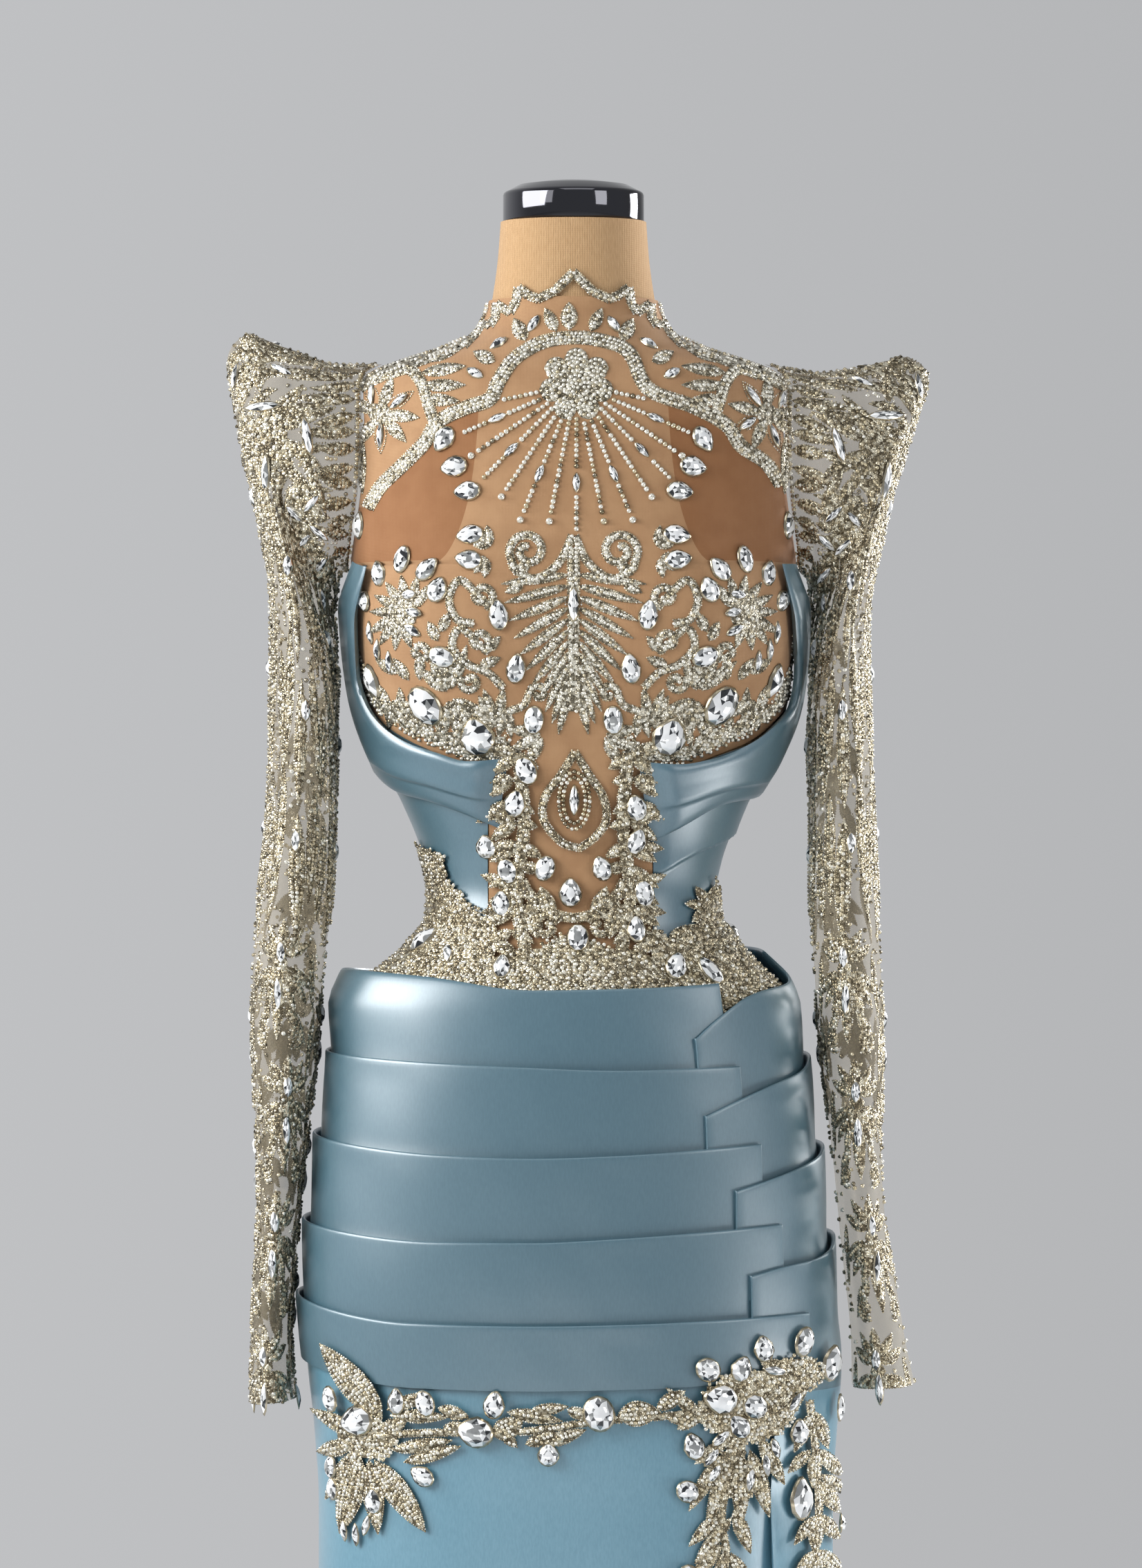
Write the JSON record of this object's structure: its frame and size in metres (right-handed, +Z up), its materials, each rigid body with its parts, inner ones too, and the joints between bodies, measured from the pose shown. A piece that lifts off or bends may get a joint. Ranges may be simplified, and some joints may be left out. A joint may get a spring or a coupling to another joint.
{
  "type": "mermaid gown on a limbless dress form",
  "caption": "Long mermaid gown of blue satin with a beaded net yoke, pointed tulle sleeves, a pleated hip wrap and a crystal belt, on a limbless form with a round base.",
  "frame": {"origin": "middle of the underside of the stand's round base, on the floor", "axes": "+Z up along the pole, -Y towards the front of the gown, +X towards the wearer's left"},
  "size_m": [0.904, 0.9183, 1.565],
  "materials": {
    "knit": "beige jersey cover of the dress form",
    "chrome": "polished",
    "stand_steel": "satin steel",
    "nude_net": "skin-toned fine net, crystal beadwork on the front",
    "ivory_tulle": "sheer ivory tulle, beaded",
    "blue_satin": "steel-blue satin, soft sheen",
    "beadwork": "clear crystals and champagne beads sewn close on net"
  },
  "bodies": {
    "root": {"form_torso": "knit", "form_neck_cap": "chrome", "form_base": "stand_steel", "form_pole": "stand_steel", "bodice_back_left": "nude_net", "bodice_back_right": "nude_net", "bodice_front": "nude_net", "stand_collar": "nude_net", "sleeve_left": "ivory_tulle", "sleeve_right": "ivory_tulle", "bust_fold_left": "blue_satin", "bust_fold_right": "blue_satin", "satin_back_left": "blue_satin", "satin_back_right": "blue_satin", "satin_front_left": "blue_satin", "satin_front_right": "blue_satin", "side_drape": "blue_satin", "skirt_back": "blue_satin", "skirt_front": "blue_satin", "wrap_fold_1": "blue_satin", "wrap_fold_2": "blue_satin", "wrap_fold_3": "blue_satin", "wrap_fold_4": "blue_satin", "wrap_tier_1": "blue_satin", "wrap_tier_2": "blue_satin", "wrap_tier_3": "blue_satin", "wrap_tier_4": "blue_satin", "wrap_tier_5": "blue_satin", "applique_belt": "beadwork", "applique_spray_inner": "beadwork", "applique_spray_outer": "beadwork", "applique_yoke_arch": "beadwork", "collar_trim": "beadwork"}
  },
  "joints": []
}
